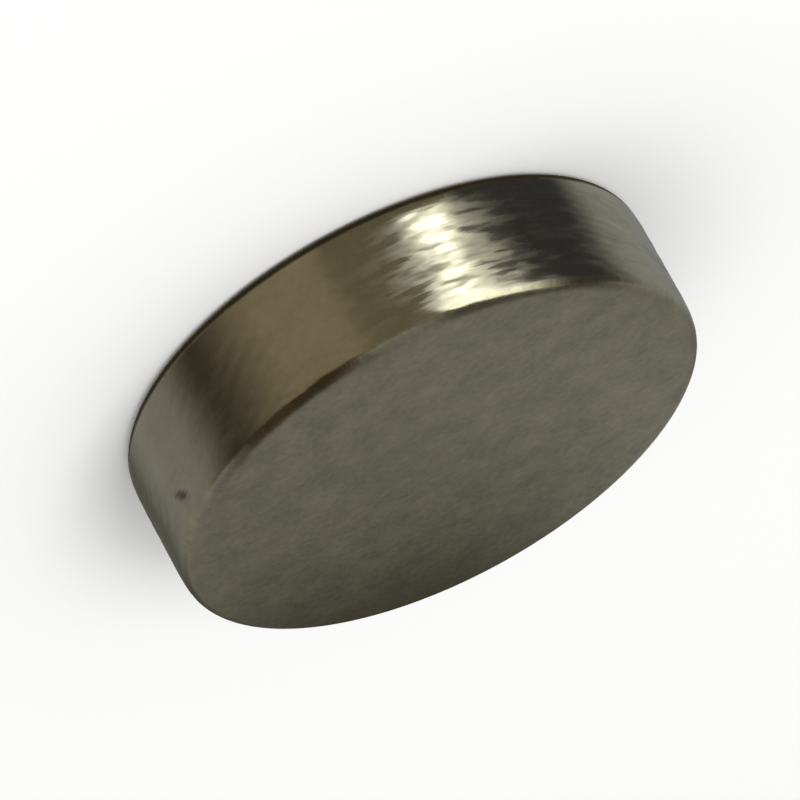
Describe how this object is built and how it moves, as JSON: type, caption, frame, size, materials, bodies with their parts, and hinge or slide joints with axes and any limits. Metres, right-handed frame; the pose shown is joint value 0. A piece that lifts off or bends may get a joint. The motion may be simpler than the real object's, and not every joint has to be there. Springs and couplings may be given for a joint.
{
  "type": "disc magnet",
  "caption": "Flat round permanent magnet with a ground, nickel-plated rim, matte pole faces and small rounded edges, for holding, closures and fixtures.",
  "frame": {"origin": "centre of the lower pole face, which the disc rests on", "axes": "+Z along the disc's axis, from the lower pole face to the upper one; -Y towards the reference camera"},
  "size_m": [0.012, 0.012, 0.003],
  "materials": {
    "nickel_plating": "satin"
  },
  "bodies": {
    "root": {"disc_magnet": "nickel_plating"}
  },
  "joints": []
}
